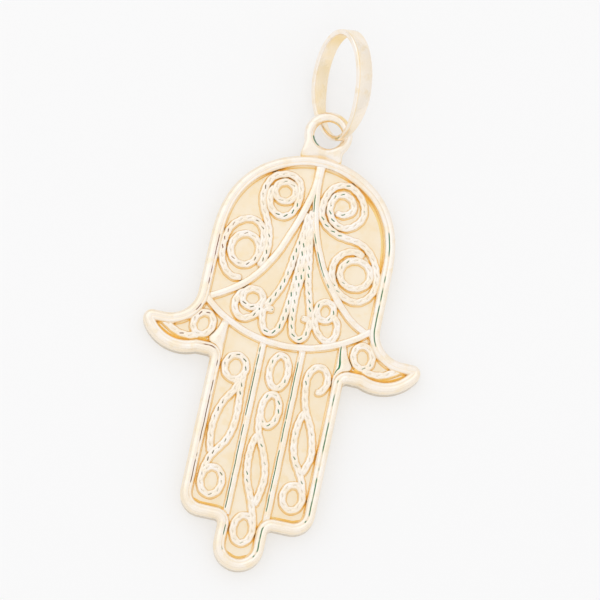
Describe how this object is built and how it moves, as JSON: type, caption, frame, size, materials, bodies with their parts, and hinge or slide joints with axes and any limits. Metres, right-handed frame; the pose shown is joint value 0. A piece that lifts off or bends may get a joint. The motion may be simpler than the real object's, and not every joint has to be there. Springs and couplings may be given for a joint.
{
  "type": "hamsa pendant",
  "caption": "Flat open-hand pendant with a raised rim, twisted-wire scrolls in its cells, a soldered eyelet and a tapered oval bail.",
  "frame": {"origin": "on the flat back of the hand, on its middle line and halfway between the top of the rim and the middle fingertip", "axes": "+Z out of the decorated face, +Y from the fingers to the bail, +X to the viewer's right; the hand lies on its back at z = 0"},
  "size_m": [0.017, 0.0335, 0.0049],
  "materials": {
    "gold": "polished 14 ct yellow gold with a fine satin ground",
    "bail_gold": "polished 14 ct yellow gold"
  },
  "bodies": {
    "root": {"hamsa_hand": "gold", "bail": "bail_gold"}
  },
  "joints": []
}
